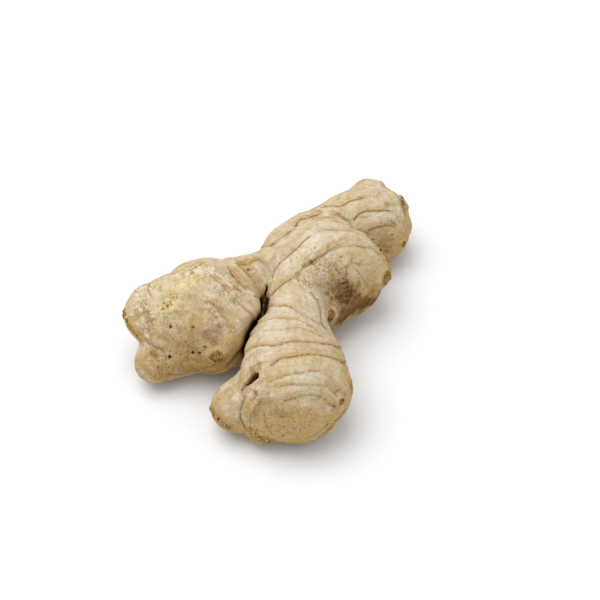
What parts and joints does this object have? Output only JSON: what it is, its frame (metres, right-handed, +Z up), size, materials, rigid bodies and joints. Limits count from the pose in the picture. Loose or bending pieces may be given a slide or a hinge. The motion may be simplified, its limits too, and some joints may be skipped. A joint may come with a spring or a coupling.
{
  "type": "ginger root",
  "caption": "Fresh ginger root: a branching hand of plump knobbly lobes with ringed light tan skin, blunt end faces and small buds.",
  "frame": {"origin": "centre of the bounding box's base, on the surface that the root lies on", "axes": "+Z up, +Y from the big front lobe towards the rear lobe, +X to the right as seen from the big front lobe"},
  "size_m": [0.0962, 0.113, 0.035],
  "materials": {
    "ginger_skin": "dry papery skin, matt with a faint sheen"
  },
  "bodies": {
    "root": {"ginger_root": "ginger_skin"}
  },
  "joints": []
}
